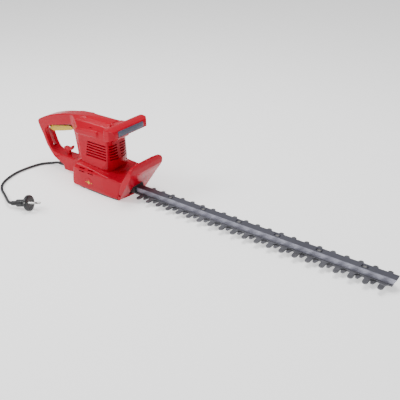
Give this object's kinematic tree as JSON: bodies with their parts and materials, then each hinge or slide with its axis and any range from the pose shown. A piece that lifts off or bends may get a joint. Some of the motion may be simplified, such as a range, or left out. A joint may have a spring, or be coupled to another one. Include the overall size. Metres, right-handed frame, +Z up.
{
  "type": "hedge trimmer",
  "caption": "Electric hedge trimmer: D-handle with a trigger, front handle with a switch bar, hand guard, double-sided reciprocating blade, and a mains cord with a plug.",
  "frame": {"origin": "on the flat underside of the base cover, in the machine's middle plane, below the motor and gears", "axes": "+X towards the blade tip, +Y to the left of the person holding it, +Z up"},
  "size_m": [0.8818, 0.2603, 0.1645],
  "materials": {
    "red_shell": "smooth satin-gloss moulding",
    "black_plastic": "matt moulding",
    "grey_plastic": "satin moulding",
    "yellow_plastic": "satin moulding",
    "black_rubber": "soft satin",
    "blade_steel": "ground and hardened",
    "rail_alloy": "drawn bar",
    "cast_alloy": "die cast",
    "steel": "turned and plated",
    "lamination_steel": "stacked laminations",
    "copper": "enamelled winding",
    "brass": "pressed",
    "carbon": "pressed graphite"
  },
  "bodies": {
    "machine": {"housing_left": "red_shell", "housing_right": "red_shell", "gear_housing": "red_shell", "base_cover": "black_plastic", "hand_guard": "red_shell", "front_handle_upper": "red_shell", "front_handle_lower": "red_shell", "front_switch": "black_plastic", "front_bar_springs": "steel", "trigger_pin": "steel", "trigger_spring": "steel", "rear_switch": "black_plastic", "cord_hook": "red_shell", "strain_relief": "black_rubber", "cord_clamp": "black_plastic", "cord_clamp_screws": "steel", "mains_cord": "black_rubber", "plug_body": "black_rubber", "plug_pins": "steel", "plug_earth_strips": "steel", "blade_bracket": "black_plastic", "blade_rail": "rail_alloy", "comb_blade": "blade_steel", "blade_screws": "steel", "blade_spacers": "steel", "blade_nuts": "steel", "comb_fixing_screws": "steel", "gear_plate": "cast_alloy", "gear_plate_screws": "steel", "gear_axle": "steel", "axle_ring": "steel", "lower_bearing": "steel", "upper_bearing": "steel", "stator_core": "lamination_steel", "field_coils": "copper", "brush_holders": "brass", "carbon_brushes": "carbon", "brush_springs": "steel", "suppressor_capacitor": "yellow_plastic", "housing_screws": "steel", "tower_screws": "steel", "base_screws": "steel", "guard_screws": "steel", "handle_screws": "steel", "badge": "yellow_plastic"},
    "cutter": {"cutter_blade": "blade_steel"},
    "crank_gear": {"drive_gear": "steel"},
    "armature": {"motor_shaft": "steel", "pinion": "steel", "fan": "black_plastic", "armature_core": "lamination_steel", "armature_windings": "copper", "commutator": "copper"},
    "trigger": {"rear_trigger": "yellow_plastic"},
    "rear_plunger": {"rear_switch_plunger": "black_plastic"},
    "switch_bar": {"front_switch_bar": "grey_plastic"},
    "front_plunger": {"front_switch_plunger": "yellow_plastic"}
  },
  "joints": [
    {"name": "cutter_slide", "type": "slide", "parent": "machine", "child": "cutter", "axis": [1, 0, 0], "range_m": [-0.0095, 0.0165]},
    {"name": "motor_spin", "type": "hinge", "parent": "machine", "child": "armature", "pos_m": [-0.016, 0, 0.06], "axis": [0, 0, 1], "continuous": true},
    {"name": "drive_gear_spin", "type": "hinge", "parent": "machine", "child": "crank_gear", "pos_m": [0.02, 0, 0.02], "axis": [0, 0, 1], "continuous": true},
    {"name": "rear_trigger_squeeze", "type": "hinge", "parent": "machine", "child": "trigger", "pos_m": [-0.17, 0, 0.1065], "axis": [0, -1, 0], "range_deg": [0, 5], "stiffness_Nm_per_rad": 2, "springref_deg": -5.73, "deforming": ["trigger_spring"]},
    {"name": "rear_plunger_slide", "type": "slide", "parent": "machine", "child": "rear_plunger", "axis": [0, 0, 1], "range_m": [0, 0.0052]},
    {"name": "switch_bar_press", "type": "slide", "parent": "machine", "child": "switch_bar", "axis": [-1, 0, 0], "range_m": [0, 0.004], "stiffness_N_per_m": 500, "springref_m": -0.002, "deforming": ["front_bar_springs"]},
    {"name": "front_plunger_slide", "type": "slide", "parent": "machine", "child": "front_plunger", "axis": [-1, 0, 0], "range_m": [0, 0.004]}
  ],
  "couplings": [
    {"joint": "drive_gear_spin", "follows": "motor_spin", "ratio": -0.2},
    {"joint": "rear_plunger_slide", "follows": "rear_trigger_squeeze", "m_per_rad": 0.0575},
    {"joint": "front_plunger_slide", "follows": "switch_bar_press", "ratio": 1}
  ]
}
